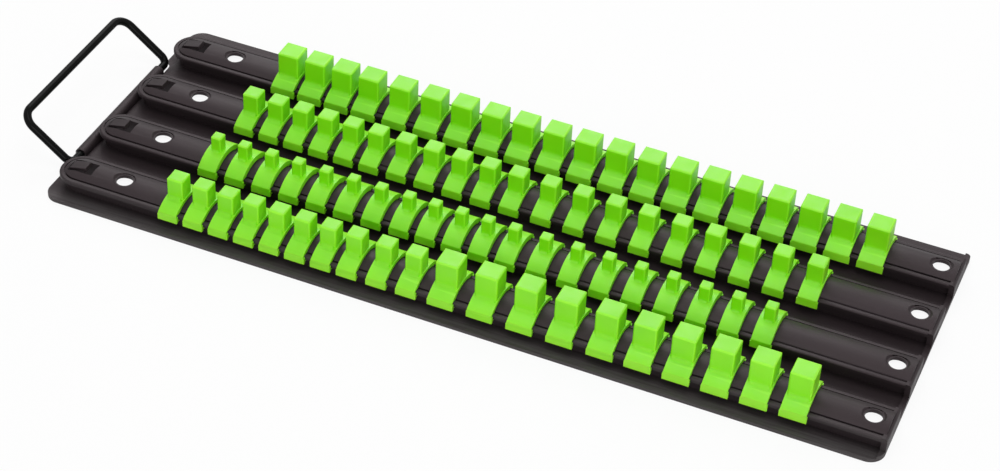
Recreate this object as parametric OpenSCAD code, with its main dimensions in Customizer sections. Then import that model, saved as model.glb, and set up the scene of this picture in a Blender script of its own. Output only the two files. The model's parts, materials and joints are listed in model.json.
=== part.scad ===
// Portable socket organizer tray.
// A moulded tray carries four T-section rails. Square-drive clips straddle each rail and slide
// along it, a sprung tab at the left end of each rail keeps the clips on, and a bent wire bail
// swings in a barrel moulded on the tray's left edge.
// Origin: centre of the eight screw holes in plan, on the tray's underside. X runs along the
// rails, Y towards the rear row, Z up.

/* [Screw holes] */
// Distance between the left and right screw holes of a rail
hole_span = 410; // [400:1:420]
// Diameter of a screw hole
hole_d = 9; // [6:0.5:10]
// Diameter of the dished seat around a hole
dish_d = 12.6; // [11:0.2:14]
// Depth of the dished seat below the crown of the rail
dish_depth = 1.1; // [0.6:0.1:1.4]

/* [Tray plate] */
// Thickness of the plate
plate_t = 2; // [1.6:0.1:2.6]
// Plate beyond the left screw holes
left_margin = 39.6; // [39:0.1:42]
// Plate beyond the right screw holes
right_margin = 10.6; // [10:0.1:13]
// Plate in front of the front rail's axis
front_margin = 19.4; // [17:0.1:24]
// Plate behind the rear rail's axis
rear_margin = 26.1; // [17:0.1:34]
// Corner radius of the plate
corner_r = 8.5; // [4:0.5:10]
// Corner radius at the rear right, where the rim ends
sharp_corner_r = 2.5; // [1.5:0.5:5]
// Width of the low rim along the right edge
rim_w = 3; // [2:0.1:4]
// Height of that rim above the plate
rim_h = 1.2; // [0.6:0.1:2]

/* [Rails] */
// Number of rails
rail_count = 4; // [4:1:4]
// Distance between rail axes
rail_pitch = 41.2; // [40:0.1:44]
// Width over the flanges
flange_w = 24; // [22:0.5:26]
// Thickness of a flange
flange_t = 2.3; // [1.8:0.1:2.6]
// Rounding of a flange's top edge
flange_edge_r = 0.9; // [0.6:0.1:1.1]
// Height of the undercut between plate and flange
undercut_h = 6.2; // [6:0.1:8]
// Width over the webs under the flanges
web_w = 18; // [17:0.5:19]
// Thickness of the moulded walls
wall_t = 2; // [1.6:0.1:2.4]
// Width of the convex crown between the grooves
crown_w = 17.6; // [17:0.1:18.4]
// Height of the crown's edge above the flange
crown_step = 0.4; // [0.2:0.1:0.8]
// Rise of the crown from its edge to the rail's axis
crown_rise = 2.3; // [1.8:0.1:2.8]
// Thickness of the crown at the axis
crown_t = 2.6; // [2:0.1:3]
// Width of the groove between crown and flange
groove_w = 0.9; // [0.6:0.1:1.2]
// Depth of that groove below the flange
groove_depth = 0.6; // [0.3:0.1:0.9]
// Distance from the left screw hole to the rail's round tip
rail_lead = 37.8; // [37:0.1:39]
// Thickness of the wall that closes the rail's right end
end_wall_t = 3; // [2:0.1:4]
// Rounding of the top of that wall
end_round_r = 1.6; // [0.8:0.1:2]

/* [Stop tabs] */
// Width of a tab
tab_w = 6.5; // [5:0.1:7]
// Length of a tab from its root
tab_len = 10.4; // [9:0.1:11]
// Thickness of a tab
tab_t = 1.8; // [1.4:0.1:2.2]
// Upward slope of a tab at rest
tab_rise = 13; // [9:0.5:15]
// Depth of the nose that stops the clips
tab_nose = 2.6; // [2:0.1:3.4]
// Slot beside a tab
tab_side_gap = 1.5; // [1:0.1:2]
// Slot past the free end of a tab
tab_end_gap = 2.9; // [2:0.1:3.4]
// Gap at the root of a tab
tab_root_gap = 0.2; // [0.15:0.05:0.3]
// Distance from the left screw hole to the root of a tab
tab_setback = 30.9; // [30:0.1:31.4]

/* [Handle] */
// Wire diameter
wire_d = 4.5; // [4:0.1:4.8]
// Distance between the arms, centre to centre
grip_len = 104.6; // [100:0.2:110]
// Distance from the hinge axis to the grip
reach = 36.2; // [32:0.2:60]
// Bend radius at the grip, on the wire's axis
grip_bend_r = 8.3; // [6:0.1:12]
// Bend radius at the hinge, on the wire's axis
end_bend_r = 4.6; // [4:0.1:6]
// Slope of the handle above the horizontal
handle_tilt = 38; // [0:1:80]
// Length of wire inside each end of the barrel
wire_insert = 12; // [8:0.5:16]

/* [Hinge barrel] */
// Outer diameter of the barrel
barrel_d = 6.4; // [6:0.1:7]
// Distance from an arm's axis to the end of the barrel
barrel_gap = 9.7; // [8:0.1:12]
// Distance of the hinge axis inside the plate's left edge
hinge_inset = 0.9; // [0:0.1:2]
// Depth of the flat under the barrel
barrel_flat = 0.2; // [0.1:0.05:0.4]
// Radial clearance of the wire in the barrel
wire_clearance = 0.08; // [0.05:0.01:0.1]
// Clearance past the wire's end and around its bend
wire_relief = 0.6; // [0.5:0.1:1.2]

/* [Clip bodies] */
// Clearance between clip and rail
clip_clearance = 0.3; // [0.25:0.05:0.35]
// Thickness of the skirts in front of and behind the flanges
skirt_t = 1.5; // [1.4:0.1:2.2]
// Height of the skirt's top corner above the plate
skirt_top = 9.1; // [9:0.1:9.6]
// Rounding of that corner
shoulder_r = 1; // [0.4:0.1:1.2]
// Clearance between the skirts and the plate
skirt_gap = 4.2; // [3.6:0.1:4.4]
// Clearance between the hooks and the webs
hook_gap = 0.5; // [0.3:0.1:0.8]
// Extra width of the skirts' lower part on each side
skirt_flare = 0.4; // [0.1:0.1:0.5]
// Height of that wider part
flare_h = 3.7; // [3:0.1:4]
// Rounding of the studs' upright edges
stud_edge_r = 1.2; // [0.5:0.1:1.4]
// Rounding of the studs' top edges
stud_top_r = 1.2; // [0.5:0.1:1.4]

/* [Half inch clips] */
// Side of the square stud
half_stud = 12.5; // [12.2:0.05:12.6]
// Height of the stud above the rail's crown
half_height = 15.5; // [13:0.1:17]
// Width of the body along the rail
half_body = 13.3; // [13:0.1:13.8]
// Radius between stud and body
half_fillet = 2.8; // [1:0.1:3.6]
// Thickness of the saddle over the crown of the rail
half_saddle = 1.9; // [1.6:0.1:2.6]

/* [Three eighths inch clips] */
// Side of the square stud
three_eighths_stud = 9.4; // [9.2:0.05:9.5]
// Height of the stud above the rail's crown
three_eighths_height = 13.5; // [11:0.1:15]
// Width of the body along the rail
three_eighths_body = 10.4; // [10:0.1:10.8]
// Radius between stud and body
three_eighths_fillet = 2.8; // [1:0.1:3.6]
// Thickness of the saddle over the crown of the rail
three_eighths_saddle = 1.9; // [1.6:0.1:2.6]

/* [Quarter inch clips] */
// Side of the square stud
quarter_stud = 6.2; // [6:0.05:6.3]
// Height of the stud above the rail's crown
quarter_height = 12; // [10:0.1:13]
// Width of the body along the rail
quarter_body = 10.3; // [9.8:0.1:10.7]
// Radius between stud and body
quarter_fillet = 1.6; // [1:0.1:3]
// Thickness of the saddle over the crown of the rail
quarter_saddle = 3.2; // [2.6:0.1:3.6]

/* [Rear row, half inch] */
// Distance from the left screw hole to the first clip
rear_first = 36.3; // [30:0.1:40]
// Spacing of clips 1 to 4
rear_left_pitch = 16.4; // [15:0.1:18.4]
// Spacing of clips 4 to 6
rear_middle_pitch = 18.8; // [15:0.1:20]
// Spacing of clips 6 to 20
rear_right_pitch = 18.05; // [17:0.05:18.4]

/* [Second row, three eighths inch] */
// Distance from the left screw hole to the first clip
second_first = 33.6; // [30:0.1:44]
// Spacing of clips 1 to 6
second_left_pitch = 15; // [14:0.1:18]
// Spacing of clips 6 to 11
second_middle_pitch = 16.3; // [14:0.1:19]
// Spacing of clips 11 to 20
second_right_pitch = 18.3; // [15:0.1:20]

/* [Third row, quarter inch] */
// Distance from the left screw hole to the first clip
third_first = 33.7; // [30:0.1:44]
// Spacing of clips 1 to 8
third_left_pitch = 16; // [14:0.1:18]
// Spacing of clips 8 to 12
third_middle_pitch = 14.9; // [14:0.1:19]
// Spacing of clips 12 to 20
third_right_pitch = 17.3; // [15:0.1:20]

/* [Front row, three eighths and half inch] */
// Distance from the left screw hole to the first small clip
front_small_first = 32.7; // [30:0.1:34]
// Spacing of small clips 1 to 8
front_small_left_pitch = 14.7; // [14:0.1:15]
// Spacing of small clips 8 to 10
front_small_right_pitch = 16.6; // [15:0.1:16.8]
// Distance from the left screw hole to the first large clip
front_large_first = 187.8; // [186:0.1:194]
// Spacing of large clips 1 to 5
front_large_left_pitch = 21.5; // [18:0.1:22]
// Spacing of large clips 5 to 10
front_large_right_pitch = 20; // [18:0.1:20.6]

/* [Hidden] */
$fn = 64;
eps = 0.01;

plastic_black = [0.17, 0.16, 0.16];
wire_black = [0.05, 0.05, 0.05];
clip_green = [0.42, 0.85, 0.1];

// Plan of the tray
left_hole_x = -hole_span / 2;
left_x = left_hole_x - left_margin;
right_x = hole_span / 2 + right_margin;
front_y = -(rail_count - 1) / 2 * rail_pitch - front_margin;
rear_y = (rail_count - 1) / 2 * rail_pitch + rear_margin;
tray_w = rear_y - front_y;

// Heights of the rail section above the underside
flange_bottom = plate_t + undercut_h;
flange_top = flange_bottom + flange_t;
crown_edge_z = flange_top + crown_step;
crown_top = crown_edge_z + crown_rise;
crown_r = (pow(crown_w / 2, 2) + pow(crown_rise, 2)) / (2 * crown_rise);
crown_centre_z = crown_top - crown_r;

// Rails from the round tip to the end wall
tip_x = left_hole_x - rail_lead;
tip_centre_x = tip_x + flange_w / 2;
end_wall_x = right_x - end_wall_t;

// Stop tabs
tab_root_r = tab_t / 2;
tab_root_x = left_hole_x - tab_setback;
window_x = tab_root_x - tab_root_r - tab_root_gap;
window_len = tab_root_r + tab_root_gap + tab_len + tab_end_gap;
tab_root_z = crown_centre_z + sqrt(pow(crown_r, 2) - pow(tip_centre_x - tab_root_x, 2)) - tab_root_r;

// Handle and its barrel
hinge_x = left_x + hinge_inset;
hinge_z = barrel_d / 2 - barrel_flat;
arm_y = grip_len / 2;
barrel_len = grip_len - 2 * barrel_gap;

// Clips
saddle_edge = flange_w / 2 + clip_clearance + skirt_t;
skirt_corner_z = plate_t + skirt_top;
skirt_bottom = plate_t + skirt_gap;

// The saddle's outer arch, whose thickness over the crown is t: top, radius and centre height
function saddle_top(t) = crown_top + clip_clearance + t;
function saddle_drop(t) = saddle_top(t) - skirt_corner_z;
function saddle_r(t) = (pow(saddle_edge, 2) + pow(saddle_drop(t), 2)) / (2 * saddle_drop(t));
function saddle_centre_z(t) = saddle_top(t) - saddle_r(t);

// Clip sizes: stud side, stud height above the crown, body width, fillet radius, saddle thickness
HALF = [half_stud, half_height, half_body, half_fillet, half_saddle];
THREE_EIGHTHS = [three_eighths_stud, three_eighths_height, three_eighths_body,
    three_eighths_fillet, three_eighths_saddle];
QUARTER = [quarter_stud, quarter_height, quarter_body, quarter_fillet, quarter_saddle];

// Each row holds 20 clips: the first and last three are nodes of their own and those between
// them go in pairs
ROWS = ["rear", "second", "third", "front"];
CLIPS_PER_ROW = 20;
SINGLES = 3;
GROUPS = concat(
    [for (k = [1 : SINGLES]) [k]],
    [for (k = [SINGLES + 1 : 2 : CLIPS_PER_ROW - SINGLES - 1]) [k, k + 1]],
    [for (k = [CLIPS_PER_ROW - SINGLES + 1 : CLIPS_PER_ROW]) [k]]);

function digits2(k) = k < 10 ? str("0", k) : str(k);
function clip_node(row, group) =
    len(group) == 1
        ? str(ROWS[row], "_clip_", digits2(group[0]))
        : str(ROWS[row], "_clips_", digits2(group[0]), "_", digits2(group[1]));
function tab_node(row) = str(ROWS[row], "_stop_tab");
function row_y(row) = ((rail_count - 1) / 2 - row) * rail_pitch;

// Places of the clips: a row's spacing changes after the clips named in its section
SMALL_IN_FRONT = 10;
function span(k, from, to) = max(0, min(k, to) - from);
function clip_x(row, k) = left_hole_x + (
    row == 0 ? rear_first + span(k, 1, 4) * rear_left_pitch
        + span(k, 4, 6) * rear_middle_pitch + span(k, 6, 20) * rear_right_pitch :
    row == 1 ? second_first + span(k, 1, 6) * second_left_pitch
        + span(k, 6, 11) * second_middle_pitch + span(k, 11, 20) * second_right_pitch :
    row == 2 ? third_first + span(k, 1, 8) * third_left_pitch
        + span(k, 8, 12) * third_middle_pitch + span(k, 12, 20) * third_right_pitch :
    k <= SMALL_IN_FRONT
        ? front_small_first + span(k, 1, 8) * front_small_left_pitch
            + span(k, 8, 10) * front_small_right_pitch
        : front_large_first + span(k, 11, 15) * front_large_left_pitch
            + span(k, 15, 20) * front_large_right_pitch);
function clip_size(row, k) =
    row == 0 ? HALF :
    row == 1 ? THREE_EIGHTHS :
    row == 2 ? QUARTER :
    k <= SMALL_IN_FRONT ? THREE_EIGHTHS : HALF;

// Stands a profile drawn as (across, up) on the rail's axis and extrudes it along the rail
module along_rail(x_from, x_to) {
    translate([x_from, 0, 0])
        rotate([90, 0, 90])
            linear_extrude(x_to - x_from)
                children();
}

// Removes the corner at [x, y] of a plate, leaving radius r; sx and sy point into the plate
module corner_cut(x, y, r, sx, sy) {
    translate([x, y])
        difference() {
            translate([min(0, sx * r) - (sx > 0 ? 1 : 0), min(0, sy * r) - (sy > 0 ? 1 : 0)])
                square(r + 1);
            translate([sx * r, sy * r])
                circle(r);
        }
}

module plate_outline() {
    difference() {
        translate([left_x, front_y])
            square([right_x - left_x, tray_w]);
        corner_cut(left_x, front_y, corner_r, 1, 1);
        corner_cut(left_x, rear_y, corner_r, 1, -1);
        corner_cut(right_x, front_y, corner_r, -1, 1);
        corner_cut(right_x, rear_y, sharp_corner_r, -1, -1);
    }
}

// One side of the rail's outer section, from the axis outwards
module rail_half_section() {
    groove_edge = crown_w / 2 + groove_w;
    lip_x = flange_w / 2 - flange_edge_r;
    square([web_w / 2, flange_top - groove_depth]);
    translate([0, flange_bottom]) {
        square([lip_x, flange_t - groove_depth]);
        square([flange_w / 2, flange_t - flange_edge_r]);
        translate([groove_edge, 0])
            square([lip_x - groove_edge, flange_t]);
    }
    translate([lip_x, flange_top - flange_edge_r])
        circle(flange_edge_r);
    crown_half_section();
}

module crown_half_section() {
    intersection() {
        translate([0, crown_centre_z])
            circle(crown_r, $fn = 180);
        translate([0, flange_bottom])
            square([crown_w / 2, crown_top]);
    }
}

// One side of the hollow inside a rail, open below the plate
module hollow_half_section() {
    hollow_edge = web_w / 2 - wall_t;
    translate([0, -1])
        square([hollow_edge, flange_bottom + 1]);
    intersection() {
        translate([0, crown_centre_z])
            circle(crown_r - crown_t, $fn = 180);
        square([hollow_edge, crown_top]);
    }
}

module both_sides() {
    children();
    mirror([1, 0])
        children();
}

module round_tip() {
    translate([tip_centre_x, 0, 0])
        rotate([0, 0, 90])
            rotate_extrude(angle = 180, $fn = 96)
                children();
}

module rail() {
    round_tip()
        rail_half_section();
    along_rail(tip_centre_x, end_wall_x)
        both_sides()
            rail_half_section();
    end_wall();
}

// Wall across the right end of a rail, its top rounded towards the end
module end_wall() {
    intersection() {
        along_rail(end_wall_x, right_x)
            both_sides() {
                square([flange_w / 2, crown_edge_z]);
                crown_half_section();
            }
        rotate([90, 0, 0])
            linear_extrude(flange_w + 2, center = true) {
                translate([end_wall_x - 1, -1])
                    square([end_wall_t + 1 - end_round_r, crown_top + 2]);
                translate([end_wall_x - 1, -1])
                    square([end_wall_t + 1, crown_edge_z - end_round_r + 1]);
                translate([right_x - end_round_r, crown_edge_z - end_round_r])
                    circle(end_round_r);
            }
    }
}

module rail_hollow() {
    round_tip()
        hollow_half_section();
    along_rail(tip_centre_x, end_wall_x)
        both_sides()
            hollow_half_section();
}

module screw_hole(x) {
    translate([x, 0, flange_bottom])
        cylinder(h = crown_top, d = hole_d);
    translate([x, 0, crown_top - dish_depth])
        cylinder(h = dish_depth + eps, d1 = dish_d - 2 * dish_depth, d2 = dish_d);
}

module tab_window() {
    window_w = tab_w + 2 * tab_side_gap;
    translate([window_x, -window_w / 2, flange_bottom])
        cube([window_len, window_w, crown_top]);
}

// Barrel on the left edge, flush with the tray's underside
module barrel() {
    rotate([90, 0, 0])
        linear_extrude(barrel_len, center = true)
            intersection() {
                translate([hinge_x, hinge_z])
                    circle(d = barrel_d);
                translate([hinge_x - barrel_d, 0])
                    square(2 * barrel_d);
            }
}

// Blind bore and room for the wire's bend at one end of the barrel
module wire_socket() {
    bore_depth = wire_insert + wire_relief;
    translate([hinge_x, barrel_len / 2 - bore_depth, hinge_z])
        rotate([-90, 0, 0])
            cylinder(h = bore_depth + eps, r = wire_d / 2 + wire_clearance);
    translate([0, 0, -eps])
        linear_extrude(barrel_d)
            wire_notch();
}

// Notch in the plate's edge, in plan: it follows the outside of the wire's bend
module wire_notch() {
    bend_y = arm_y - end_bend_r;
    notch_w = hinge_inset + wire_d / 2 + wire_relief + eps;
    translate([left_x - eps, barrel_len / 2])
        square([notch_w, bend_y - barrel_len / 2]);
    intersection() {
        translate([hinge_x - end_bend_r, bend_y])
            circle(end_bend_r + wire_d / 2 + wire_relief);
        translate([left_x - eps, bend_y])
            square([notch_w, barrel_gap]);
    }
}

module tray() {
    color(plastic_black)
        difference() {
            union() {
                linear_extrude(plate_t)
                    plate_outline();
                translate([0, 0, plate_t])
                    linear_extrude(rim_h)
                        intersection() {
                            plate_outline();
                            translate([right_x - rim_w, front_y])
                                square([rim_w, tray_w]);
                        }
                for (row = [0 : rail_count - 1])
                    translate([0, row_y(row), 0])
                        rail();
                barrel();
            }
            for (row = [0 : rail_count - 1])
                translate([0, row_y(row), 0]) {
                    rail_hollow();
                    screw_hole(left_hole_x);
                    screw_hole(-left_hole_x);
                    tab_window();
                }
            wire_socket();
            mirror([0, 1, 0])
                wire_socket();
        }
}

// Sprung tab: a rounded root, a sloping tongue and a nose that faces the clips
module stop_tab(row) {
    nose_len = tab_t;
    color(plastic_black)
        translate([tab_root_x, row_y(row) + tab_w / 2, tab_root_z])
            rotate([90, 0, 0])
                linear_extrude(tab_w) {
                    circle(tab_root_r);
                    rotate(tab_rise)
                        translate([0, -tab_root_r])
                            square([tab_len - tab_root_r, tab_t]);
                    rotate(tab_rise)
                        translate([tab_len - tab_root_r - nose_len, tab_root_r - tab_nose])
                            square([nose_len, tab_nose]);
                }
}

// Half of the wire bail in its own plane: u away from the hinge, v along the hinge
module bail_half() {
    straight_end = arm_y - end_bend_r;
    insert_from = barrel_len / 2 - wire_insert;
    arm_len = reach - end_bend_r - grip_bend_r;
    arm_end = end_bend_r + arm_len;
    wire_run(0, insert_from, straight_end);
    translate([end_bend_r, straight_end, 0])
        rotate([0, 0, 90])
            wire_bend(end_bend_r);
    translate([end_bend_r, arm_y, 0])
        rotate([0, 90, 0])
            cylinder(h = arm_len, d = wire_d);
    translate([arm_end, arm_y - grip_bend_r, 0])
        wire_bend(grip_bend_r);
    wire_run(arm_end + grip_bend_r, 0, arm_y - grip_bend_r);
}

module wire_run(u, v_from, v_to) {
    translate([u, v_from, 0])
        rotate([-90, 0, 0])
            cylinder(h = v_to - v_from, d = wire_d);
}

module wire_bend(r) {
    rotate_extrude(angle = 90)
        translate([r, 0])
            circle(d = wire_d);
}

module handle() {
    color(wire_black)
        translate([hinge_x, 0, hinge_z])
            rotate([0, handle_tilt, 0])
                mirror([1, 0, 0]) {
                    bail_half();
                    mirror([0, 1, 0])
                        bail_half();
                }
}

// Space that the rail takes inside a clip, with the running clearance
module rail_space_section() {
    c = clip_clearance;
    hook_edge = web_w / 2 + hook_gap;
    translate([-hook_edge, 0])
        square([2 * hook_edge, flange_bottom]);
    translate([-flange_w / 2 - c, flange_bottom - c])
        square([flange_w + 2 * c, flange_t + 2 * c]);
    intersection() {
        translate([0, crown_centre_z])
            circle(crown_r + c, $fn = 180);
        translate([-crown_w / 2 - c, flange_bottom])
            square([crown_w + 2 * c, crown_top]);
    }
}

// Saddle of a clip across the rail: an arched top that falls to the two skirts
module saddle_section(t) {
    difference() {
        both_sides()
            saddle_half_section(t);
        rail_space_section();
    }
}

// One side of the saddle's outline, its shoulder rounded where the arch meets the skirt
module saddle_half_section(t) {
    arch_r = saddle_r(t);
    arch_z = saddle_centre_z(t);
    round_y = saddle_edge - shoulder_r;
    round_z = arch_z + sqrt(pow(arch_r - shoulder_r, 2) - pow(round_y, 2));
    touch_y = round_y * arch_r / (arch_r - shoulder_r);
    touch_z = arch_z + (round_z - arch_z) * arch_r / (arch_r - shoulder_r);
    intersection() {
        translate([0, arch_z])
            circle(arch_r, $fn = 180);
        translate([0, skirt_bottom])
            square([touch_y, saddle_top(t)]);
    }
    translate([0, skirt_bottom])
        square([saddle_edge, round_z - skirt_bottom]);
    intersection() {
        translate([round_y, round_z])
            circle(shoulder_r);
        polygon([[round_y, round_z], [touch_y, touch_z], [saddle_edge, touch_z], [saddle_edge, round_z]]);
    }
}

// Concave radius that joins one face of the stud to the arched saddle
module stud_fillet_section(stud, r, t) {
    arch_r = saddle_r(t);
    arch_z = saddle_centre_z(t);
    centre_y = stud / 2 + r;
    centre_z = arch_z + sqrt(pow(arch_r + r, 2) - pow(centre_y, 2));
    touch_y = centre_y * arch_r / (arch_r + r);
    touch_z = arch_z + (centre_z - arch_z) * arch_r / (arch_r + r);
    difference() {
        polygon([[0, centre_z], [stud / 2, centre_z], [touch_y, touch_z], [0, saddle_top(t) - t / 2]]);
        translate([centre_y, centre_z])
            circle(r);
    }
}

// Rounded top of the stud, seen from the side
module stud_side_section(stud, foot, top) {
    r = stud_top_r;
    translate([-stud / 2, foot])
        square([stud, top - foot - r]);
    translate([-stud / 2 + r, foot])
        square([stud - 2 * r, top - foot]);
    for (side = [-1, 1])
        translate([side * (stud / 2 - r), top - r])
            circle(r);
}

module stud_plan(stud) {
    r = stud_edge_r;
    square([stud - 2 * r, stud], center = true);
    square([stud, stud - 2 * r], center = true);
    for (sx = [-1, 1], sy = [-1, 1])
        translate([sx * (stud / 2 - r), sy * (stud / 2 - r)])
            circle(r);
}

module clip_stud(stud, foot, top) {
    intersection() {
        linear_extrude(top)
            stud_plan(stud);
        along_rail(-stud / 2, stud / 2)
            stud_side_section(stud, foot, top);
        rotate([90, 0, 0])
            linear_extrude(stud, center = true)
                stud_side_section(stud, foot, top);
    }
}

module clip(size) {
    stud = size[0];
    top = crown_top + size[1];
    body = size[2];
    fillet = size[3];
    saddle = size[4];
    along_rail(-body / 2, body / 2)
        saddle_section(saddle);
    along_rail(-body / 2 - skirt_flare, body / 2 + skirt_flare)
        intersection() {
            saddle_section(saddle);
            both_sides()
                translate([saddle_edge - skirt_t, skirt_bottom])
                    square([skirt_t, flare_h]);
        }
    along_rail(-stud / 2 + stud_edge_r, stud / 2 - stud_edge_r)
        both_sides()
            stud_fillet_section(stud, fillet, saddle);
    clip_stud(stud, saddle_top(saddle) - saddle / 2, top);
}

module clip_group(row, group) {
    color(clip_green)
        for (k = group)
            translate([clip_x(row, k), row_y(row), 0])
                clip(clip_size(row, k));
}

tray();
handle();
for (row = [0 : rail_count - 1]) {
    stop_tab(row);
    for (group = GROUPS)
        clip_group(row, group);
}
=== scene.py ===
"""Looks of the socket tray: black moulded tray, green clips and glossy wire handle.

Everything is in metres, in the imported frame: X along the rails, Y towards the rear row, Z up.
"""

import json
import math

import bpy
from mathutils import Matrix, Vector


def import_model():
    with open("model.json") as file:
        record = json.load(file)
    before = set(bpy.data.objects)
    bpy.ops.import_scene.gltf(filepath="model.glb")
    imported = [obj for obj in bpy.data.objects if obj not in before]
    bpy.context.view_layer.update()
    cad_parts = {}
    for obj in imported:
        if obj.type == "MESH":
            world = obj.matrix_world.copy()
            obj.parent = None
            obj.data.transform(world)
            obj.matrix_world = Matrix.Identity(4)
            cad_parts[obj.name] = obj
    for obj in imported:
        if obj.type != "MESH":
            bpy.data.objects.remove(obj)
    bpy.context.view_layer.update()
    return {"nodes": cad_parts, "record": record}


MM = 0.001

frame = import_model()
nodes = frame["nodes"]

# Materials ---------------------------------------------------------------------------------

GREEN = (0.255, 0.78, 0.004)
GREEN_DEEP = (0.225, 0.73, 0.002)
# Painted highlight colour for the clips' convex edges.
GREEN_EDGE_HIGHLIGHT = (0.36, 0.90, 0.035)
GREEN_EDGE_HIGHLIGHT_SHARE = 0.6
GREEN_SCATTER_SHARE = 0.4
GREEN_SCATTER_RGB = (0.6, 1.0, 0.12)
GREEN_SCATTER_DEPTH = 2.4 * MM
GREEN_GLOSS = 0.5

BLACK = (0.0068, 0.0036, 0.0044)
BLACK_PALE = (0.0105, 0.0062, 0.0075)
# Lighter tone for the scuffs, and for the edges, where it is partly wear and partly a painted
# highlight.
BLACK_WEAR_AND_HIGHLIGHT = (0.034, 0.027, 0.029)
BLACK_EDGE_WEAR_AND_HIGHLIGHT_SHARE = 0.3
BLACK_SCUFF_SHARE = 0.2
# Painted sheen colour of the tray's front margin.
BLACK_MARGIN_SHEEN = (0.058, 0.054, 0.054)
BLACK_GLOSS = 0.3
BLACK_GLOSS_TINT = (1.0, 0.84, 0.89)

# Y of the tray's front margin, where the band of painted sheen begins and where it is full.
MARGIN_SHEEN_FROM = -70.0 * MM
MARGIN_SHEEN_FULL = -79.0 * MM

WIRE_BLACK = (0.0022, 0.0022, 0.0022)
WIRE_DULL = (0.006, 0.006, 0.006)
WIRE_CHIPPED = (0.06, 0.06, 0.06)
WIRE_CHIP_SHARE = 0.5
WIRE_GLOSS = 0.05


class Graph:
    """Short calls for building one material's node tree."""

    # A colour Mix node's sockets, by number because their names repeat.
    MIX_A, MIX_B, MIX_RESULT = 6, 7, 2

    def __init__(self, name):
        self.material = bpy.data.materials.new(name)
        self.material.use_nodes = True
        self.tree = self.material.node_tree
        self.shader = self.tree.nodes["Principled BSDF"]
        self.coords = self.tree.nodes.new("ShaderNodeTexCoord").outputs["Object"]

    def link(self, source, target):
        self.tree.links.new(source, target)

    def stretched(self, x=1.0, y=1.0, z=1.0):
        """Object coordinates times these factors: one below 1 draws a pattern out that way."""
        n = self.tree.nodes.new("ShaderNodeMapping")
        n.inputs["Scale"].default_value = (x, y, z)
        self.link(self.coords, n.inputs["Vector"])
        return n.outputs["Vector"]

    def noise(self, grain_mm, detail=3.0, roughness=0.5, vector=None):
        """Noise whose blobs are about grain_mm across."""
        n = self.tree.nodes.new("ShaderNodeTexNoise")
        n.inputs["Scale"].default_value = 1.0 / (grain_mm * MM)
        n.inputs["Detail"].default_value = detail
        n.inputs["Roughness"].default_value = roughness
        self.link(vector or self.coords, n.inputs["Vector"])
        return n.outputs["Fac"]

    def ramp(self, value, low, high, to_low=0.0, to_high=1.0):
        """to_low where value is at low, to_high where it is at high, and held beyond them."""
        n = self.tree.nodes.new("ShaderNodeMapRange")
        n.inputs["From Min"].default_value = low
        n.inputs["From Max"].default_value = high
        n.inputs["To Min"].default_value = to_low
        n.inputs["To Max"].default_value = to_high
        self.link(value, n.inputs["Value"])
        return n.outputs["Result"]

    def times(self, a, b):
        """a times b, held between 0 and 1. b is a number or another node's value."""
        n = self.tree.nodes.new("ShaderNodeMath")
        n.operation = "MULTIPLY"
        n.use_clamp = True
        self.link(a, n.inputs[0])
        if isinstance(b, float):
            n.inputs[1].default_value = b
        else:
            self.link(b, n.inputs[1])
        return n.outputs["Value"]

    def mix(self, fac, a, b):
        """Colour a where fac is 0, and b where it is 1."""
        n = self.tree.nodes.new("ShaderNodeMix")
        n.data_type = "RGBA"
        self.link(fac, n.inputs["Factor"])
        for socket, value in ((n.inputs[self.MIX_A], a), (n.inputs[self.MIX_B], b)):
            if isinstance(value, tuple):
                socket.default_value = (*value, 1.0)
            else:
                self.link(value, socket)
        return n.outputs[self.MIX_RESULT]

    def edges(self, low, high):
        """1 on convex edges, from the mesh's own curvature, which is 0.5 where it is flat."""
        n = self.tree.nodes.new("ShaderNodeNewGeometry")
        return self.ramp(n.outputs["Pointiness"], low, high)

    def bump(self, height, depth_mm, below=None):
        """Normal for a relief depth_mm deep, on top of the normal below."""
        n = self.tree.nodes.new("ShaderNodeBump")
        n.inputs["Distance"].default_value = depth_mm * MM
        self.link(height, n.inputs["Height"])
        if below is not None:
            self.link(below, n.inputs["Normal"])
        return n.outputs["Normal"]

    def finish(self, color, roughness, normal, gloss):
        """Feeds the shader. The gloss is a fixed number, not linked. The gloss isn't
        linked, because the export drops a linked one.
        """
        self.link(color, self.shader.inputs["Base Color"])
        self.link(roughness, self.shader.inputs["Roughness"])
        self.link(normal, self.shader.inputs["Normal"])
        self.shader.inputs["Specular IOR Level"].default_value = gloss
        return self.material


def green_plastic():
    """Clip plastic: faint clouds, a painted highlight along the edges, and a little light under
    the surface.
    """
    g = Graph("green_plastic")
    cloud = g.noise(grain_mm=26.0, detail=2.0)
    color = g.mix(g.ramp(cloud, low=0.35, high=0.65), GREEN_DEEP, GREEN)
    # Painted highlight: convex edges turn paler, for the light that their rounding catches.
    edges = g.edges(low=0.515, high=0.57)
    color = g.mix(g.times(edges, GREEN_EDGE_HIGHLIGHT_SHARE), color, GREEN_EDGE_HIGHLIGHT)
    grain = g.noise(grain_mm=0.35, detail=4.0)
    swirl = g.noise(grain_mm=5.0, vector=g.stretched(z=0.4))
    roughness = g.ramp(swirl, low=0.3, high=0.7, to_low=0.36, to_high=0.5)
    normal = g.bump(grain, depth_mm=0.012)
    normal = g.bump(swirl, depth_mm=0.05, below=normal)
    g.shader.inputs["Subsurface Weight"].default_value = GREEN_SCATTER_SHARE
    g.shader.inputs["Subsurface Radius"].default_value = GREEN_SCATTER_RGB
    g.shader.inputs["Subsurface Scale"].default_value = GREEN_SCATTER_DEPTH
    return g.finish(color, roughness, normal, GREEN_GLOSS)


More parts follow.
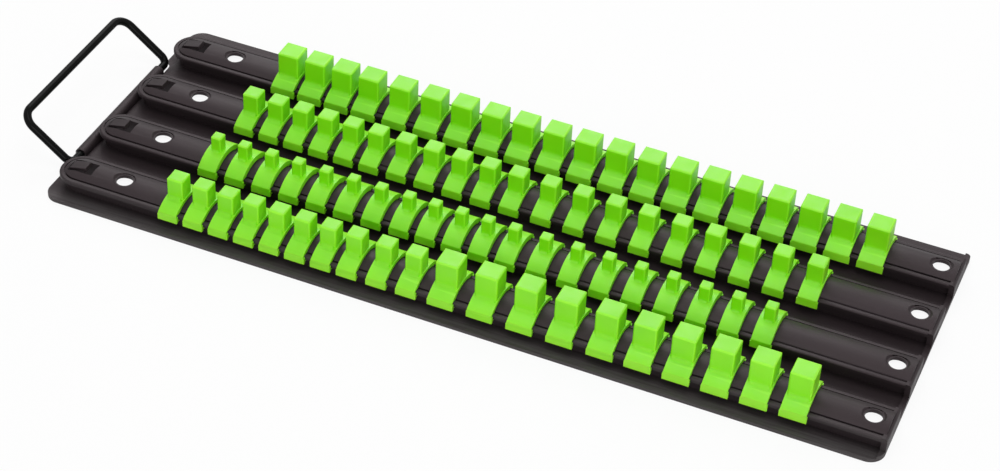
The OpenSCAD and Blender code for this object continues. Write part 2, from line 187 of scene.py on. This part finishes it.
def margin_sheen(g):
    """Painted sheen: a lighter band along the tray's front margin, for the light it catches,
    streaked along the rails.
    """
    n = g.tree.nodes.new("ShaderNodeSeparateXYZ")
    g.link(g.coords, n.inputs["Vector"])
    band = g.ramp(n.outputs["Y"], low=MARGIN_SHEEN_FROM, high=MARGIN_SHEEN_FULL)
    streaks = g.noise(grain_mm=1.4, detail=4.0, roughness=0.6, vector=g.stretched(x=0.04))
    return g.times(band, g.ramp(streaks, low=0.3, high=0.6, to_low=0.35, to_high=1.0))


def black_plastic():
    """Tray plastic: matt, with flow marks and scuffs along the rails, edges lighter from wear
    and a painted highlight, and a painted sheen on the front margin.
    """
    g = Graph("black_plastic")
    flow = g.noise(grain_mm=9.0, detail=4.0, roughness=0.6, vector=g.stretched(x=0.12))
    cloud = g.noise(grain_mm=40.0)
    color = g.mix(g.ramp(cloud, low=0.3, high=0.75), BLACK, BLACK_PALE)
    # Edges lighter: partly wear, partly a painted highlight on their rounding.
    edges = g.edges(low=0.505, high=0.56)
    color = g.mix(g.times(edges, BLACK_EDGE_WEAR_AND_HIGHLIGHT_SHARE), color, BLACK_WEAR_AND_HIGHLIGHT)
    streaks = g.noise(grain_mm=1.6, detail=5.0, roughness=0.7, vector=g.stretched(x=0.05))
    scuffs = g.ramp(streaks, low=0.62, high=0.74)
    scuffs = g.times(scuffs, g.ramp(cloud, low=0.5, high=0.62))
    color = g.mix(g.times(scuffs, BLACK_SCUFF_SHARE), color, BLACK_WEAR_AND_HIGHLIGHT)
    # Painted sheen on the front margin.
    color = g.mix(margin_sheen(g), color, BLACK_MARGIN_SHEEN)
    roughness = g.ramp(flow, low=0.3, high=0.7, to_low=0.46, to_high=0.6)
    normal = g.bump(g.noise(grain_mm=0.3), depth_mm=0.016)
    normal = g.bump(flow, depth_mm=0.05, below=normal)
    g.shader.inputs["Specular Tint"].default_value = (*BLACK_GLOSS_TINT, 1.0)
    return g.finish(color, roughness, normal, BLACK_GLOSS)


def wire_paint():
    """Paint of the wire handle: smooth black, with duller clouds and a few small chips."""
    g = Graph("wire_paint")
    cloud = g.noise(grain_mm=14.0)
    color = g.mix(g.ramp(cloud, low=0.3, high=0.7), WIRE_BLACK, WIRE_DULL)
    chips = g.ramp(g.noise(grain_mm=0.9, detail=5.0, roughness=0.65), low=0.74, high=0.78)
    color = g.mix(g.times(chips, WIRE_CHIP_SHARE), color, WIRE_CHIPPED)
    smears = g.noise(grain_mm=3.0, detail=4.0)
    roughness = g.ramp(smears, low=0.3, high=0.7, to_low=0.12, to_high=0.2)
    normal = g.bump(g.noise(grain_mm=1.1), depth_mm=0.02)
    return g.finish(color, roughness, normal, WIRE_GLOSS)


# CAD nodes ---------------------------------------------------------------------------------

WELD_DISTANCE = 0.002 * MM
FLAT_ANGLE = math.radians(0.6)
SHARP_ANGLE = math.radians(32)


def dress(node, material, edge_mm, segments=3):
    """Gives a CAD node its material, and breaks its sharp edges by at most edge_mm.

    On the clips and the tray, short edges meet, and there the overlap clamp, on by default,
    holds the bevel to a very narrow one. Without the clamp its faces would cross.
    """
    o = nodes[node]
    o.data.materials.clear()
    o.data.materials.append(material)
    # The CAD mesh's own shading would keep the new bevel from showing as round.
    for attribute in ("custom_normal", "sharp_edge", "sharp_face"):
        if attribute in o.data.attributes:
            o.data.attributes.remove(o.data.attributes[attribute])
    weld = o.modifiers.new("weld", "WELD")
    weld.merge_threshold = WELD_DISTANCE
    flat = o.modifiers.new("flat", "DECIMATE")
    flat.decimate_type = "DISSOLVE"
    flat.angle_limit = FLAT_ANGLE
    bevel = o.modifiers.new("edges", "BEVEL")
    bevel.width = edge_mm * MM
    bevel.segments = segments
    bevel.limit_method = "ANGLE"
    bevel.angle_limit = SHARP_ANGLE
    bevel.miter_outer = "MITER_ARC"
    normals = o.modifiers.new("normals", "WEIGHTED_NORMAL")
    normals.mode = "FACE_AREA_WITH_ANGLE"


green, black, wire = green_plastic(), black_plastic(), wire_paint()

for name in nodes:
    if "_clip" in name:
        dress(name, green, edge_mm=0.45, segments=4)
    elif name == "handle":
        dress(name, wire, edge_mm=0.2)
    elif name == "tray":
        dress(name, black, edge_mm=0.25)
    else:  # the stop tabs
        dress(name, black, edge_mm=0.2)

# Stage -------------------------------------------------------------------------------------

WHITE = (1.0, 1.0, 1.0)

FLOOR_SIZE = 6.0
FLOOR_DROP = 0.05 * MM
FLOOR_COLOR = (0.86, 0.86, 0.86)
FLOOR_ROUGHNESS = 0.9
FLOOR_GLOSS = 0.1
BACKGROUND_SHARE = 0.9

CARD_HEIGHT = 8.5 * MM
CARD_LENGTH = 18.0 * MM
CARD_WIDTH = 13.2 * MM

AMBIENT = 0.48
LAMP_TARGET = (0.0, 0.0, 0.0)


def add(name, data):
    """A new object of the scene, made of data."""
    o = bpy.data.objects.new(name, data)
    bpy.context.scene.collection.objects.link(o)
    return o


def background_rays(tree):
    """1 for the rays that see the white background: from the camera, mirrored or let through."""
    path = tree.nodes.new("ShaderNodeLightPath")
    rays = path.outputs["Is Camera Ray"]
    for kind in ("Is Glossy Ray", "Is Transmission Ray"):
        either = tree.nodes.new("ShaderNodeMath")
        either.operation = "MAXIMUM"
        tree.links.new(rays, either.inputs[0])
        tree.links.new(path.outputs[kind], either.inputs[1])
        rays = either.outputs["Value"]
    return rays


def floor_material():
    """Pale matt floor that is seen as the white background, with a share left for shadows."""
    m = bpy.data.materials.new("floor")
    m.use_nodes = True
    tree = m.node_tree
    shader = tree.nodes["Principled BSDF"]
    shader.inputs["Base Color"].default_value = (*FLOOR_COLOR, 1.0)
    shader.inputs["Roughness"].default_value = FLOOR_ROUGHNESS
    shader.inputs["Specular IOR Level"].default_value = FLOOR_GLOSS
    glow = tree.nodes.new("ShaderNodeEmission")
    share = tree.nodes.new("ShaderNodeMath")
    share.operation = "MULTIPLY"
    share.inputs[1].default_value = BACKGROUND_SHARE
    tree.links.new(background_rays(tree), share.inputs[0])
    mix = tree.nodes.new("ShaderNodeMixShader")
    tree.links.new(share.outputs["Value"], mix.inputs[0])
    tree.links.new(shader.outputs["BSDF"], mix.inputs[1])
    tree.links.new(glow.outputs["Emission"], mix.inputs[2])
    tree.links.new(mix.outputs["Shader"], tree.nodes["Material Output"].inputs["Surface"])
    return m


def sheet(name, place, length, width, material):
    """A flat rectangle of the backdrop, level, with its centre at place."""
    x, y = length / 2, width / 2
    mesh = bpy.data.meshes.new(name)
    mesh.from_pydata([(-x, -y, 0), (x, -y, 0), (x, y, 0), (-x, y, 0)], [], [(0, 1, 2, 3)])
    mesh.materials.append(material)
    o = add(name, mesh)
    o.location = place


def screw_holes():
    """Centres of the screw holes in plan, from the record's two bolt patterns."""
    for mount in frame["record"]["mounts"]:
        if mount["kind"] != "bolt_pattern":
            continue
        x, y = (mount["dims"][f"spacing_{axis}_mm"] / 2 * MM for axis in "xy")
        for sx in (-1, 1):
            for sy in (-1, 1):
                yield mount["pos_m"][0] + sx * x, mount["pos_m"][1] + sy * y


def backdrop():
    """The floor, and a white card inside the rail under each screw hole, glowing as painted
    light where the rail's hollow is in shade.

    The photograph shows white through the holes.
    """
    material = floor_material()
    sheet("floor", (0.0, 0.0, -FLOOR_DROP), FLOOR_SIZE, FLOOR_SIZE, material)
    for number, (x, y) in enumerate(screw_holes(), 1):
        # Painted light: each card glows white like the backdrop, inside the shaded hollow of the
        # rail.
        sheet(f"hole_card_{number}", (x, y, CARD_HEIGHT), CARD_LENGTH, CARD_WIDTH, material)


def world():
    """White to the rays that see the background, and AMBIENT to those that light the object."""
    w = bpy.data.worlds.new("studio")
    bpy.context.scene.world = w
    w.use_nodes = True
    tree = w.node_tree
    background = tree.nodes["Background"]
    background.inputs["Color"].default_value = (*WHITE, 1.0)
    strength = tree.nodes.new("ShaderNodeMapRange")
    strength.inputs["To Min"].default_value = AMBIENT
    tree.links.new(background_rays(tree), strength.inputs["Value"])
    tree.links.new(strength.outputs["Result"], background.inputs["Strength"])


def softbox(name, place, size, watts):
    """A soft rectangular lamp at place, turned to LAMP_TARGET."""
    lamp = bpy.data.lights.new(name, "AREA")
    lamp.shape = "RECTANGLE"
    lamp.size, lamp.size_y = size
    lamp.energy = watts
    o = add(name, lamp)
    o.location = place
    beam = Vector(LAMP_TARGET) - Vector(place)
    o.rotation_euler = beam.to_track_quat("-Z", "Y").to_euler()


backdrop()
world()
softbox("back", place=(-0.5, 1.3, 1.15), size=(1.2, 1.0), watts=11.5)
softbox("overhead", place=(0.0, 0.0, 1.9), size=(1.2, 1.0), watts=8.4)
softbox("front_fill", place=(0.7, -1.6, 0.9), size=(1.4, 1.0), watts=13.5)

# Camera ------------------------------------------------------------------------------------

# Solved from the eight screw holes and the tray's edges in the photograph. CAMERA_RIGHT is the
# direction of the picture's right, which holds its small roll. The angles are in degrees.
CAMERA_PLACE = (0.33734, -0.91573, 0.81403)
CAMERA_RIGHT = (0.91878, 0.39245, 0.04268)
CAMERA_ELEVATION = 39.763
CAMERA_AZIMUTH = 21.092
CAMERA_FOCAL_PX = 2424.03
PHOTO_WIDTH_PX = 1000
SENSOR_WIDTH_MM = 36.0
CLIP_START = 0.05
CLIP_END = 20.0


def camera():
    """The photograph's camera, made the scene's own."""
    az, el = math.radians(CAMERA_AZIMUTH), math.radians(CAMERA_ELEVATION)
    view = Vector((-math.sin(az) * math.cos(el), math.cos(az) * math.cos(el), -math.sin(el)))
    right = Vector(CAMERA_RIGHT)
    right = (right - view * right.dot(view)).normalized()
    up = right.cross(view)
    data = bpy.data.cameras.new("camera")
    data.sensor_fit = "HORIZONTAL"
    data.sensor_width = SENSOR_WIDTH_MM
    data.lens = CAMERA_FOCAL_PX * SENSOR_WIDTH_MM / PHOTO_WIDTH_PX
    data.clip_start = CLIP_START
    data.clip_end = CLIP_END
    o = add("camera", data)
    turn = Matrix((right, up, -view)).transposed().to_4x4()
    o.matrix_world = Matrix.Translation(CAMERA_PLACE) @ turn
    bpy.context.scene.camera = o


camera()
bpy.context.scene.view_settings.view_transform = "Standard"
